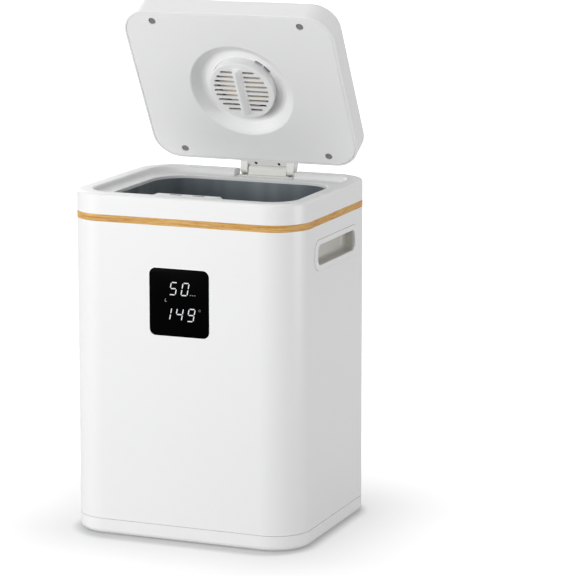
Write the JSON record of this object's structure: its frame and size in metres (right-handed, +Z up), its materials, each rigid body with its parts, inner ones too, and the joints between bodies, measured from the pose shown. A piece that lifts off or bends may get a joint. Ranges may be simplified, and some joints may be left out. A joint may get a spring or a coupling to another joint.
{
  "type": "towel warmer bucket",
  "caption": "Tall rounded-rectangle heated towel bucket with a friction-hinged lid, display window, side grip recesses and a scent dish in the lid.",
  "frame": {"origin": "on the floor, under the middle of the bounding box of the whole part with its lid open, which is 8.3 mm behind the middle of the body", "axes": "+X right, +Y from the front with the display towards the hinge, +Z up"},
  "size_m": [0.3024, 0.273, 0.6389],
  "materials": {
    "white_plastic": "satin white moulded ABS",
    "gold_trim": "light wood-look inlay with a satin coat",
    "dark_liner": "dark grey coated sheet, semi-gloss",
    "display_glass": "black glossy window with lit digits",
    "hinge_grey": "warm light grey moulded nylon",
    "plug_grey": "grey plugs",
    "grey_plastic": "dark grey nylon",
    "black_plastic": "black moulded plastic",
    "rubber": "grey rubber",
    "steel": "zinc-plated steel",
    "dark_steel": "black screws",
    "brass": "plain brass",
    "foil": "aluminium foil face",
    "insulation": "fibre and foam insulation",
    "circuit_board": "green laminate",
    "cable_grey": "grey flat cable",
    "scent_felt": "tan felt pad"
  },
  "bodies": {
    "root": {"base_cover": "white_plastic", "rubber_feet": "rubber", "base_screws": "steel", "outer_shell": "white_plastic", "trim_band": "gold_trim", "top_collar": "white_plastic", "inner_liner": "dark_liner", "liner_screws": "steel", "heater_wrap": "foil", "insulation_jacket": "insulation", "bottom_insulation": "insulation", "thermal_cutoff": "steel", "temperature_sensor": "steel", "power_board": "circuit_board", "power_board_screws": "steel", "power_relay": "black_plastic", "transformer": "black_plastic", "filter_capacitor": "foil", "display_lens": "display_glass", "display_housing": "black_plastic", "display_screws": "steel", "led_module": "black_plastic", "touch_springs": "steel", "display_board": "circuit_board", "display_ribbon": "cable_grey", "handle_cup_right": "white_plastic", "handle_cup_left": "white_plastic", "cord_gland": "grey_plastic", "gland_nut": "grey_plastic", "hinge_base": "hinge_grey", "hinge_base_screws": "dark_steel", "hinge_pin": "steel", "friction_sleeve": "brass"},
    "lid": {"hinge_leaf": "hinge_grey", "hinge_bushes": "brass", "leaf_screws": "dark_steel", "lid_shell": "white_plastic", "lid_panel": "white_plastic", "lid_screws": "dark_steel", "lid_screw_plugs": "plug_grey", "lid_insulation": "insulation", "aroma_tray": "black_plastic", "aroma_pad": "scent_felt"},
    "aroma_cap": {"aroma_cap": "white_plastic"}
  },
  "joints": [
    {"name": "lid_hinge", "type": "hinge", "parent": "root", "child": "lid", "pos_m": [0.0115, 0.11572, 0.42], "axis": [-1, 0, 0], "range_deg": [-60, 35]},
    {"name": "cap_twist", "type": "hinge", "parent": "lid", "child": "aroma_cap", "pos_m": [0, 0.05571, 0.52495], "axis": [0, -0.866, -0.5], "range_deg": [0, 40]}
  ]
}
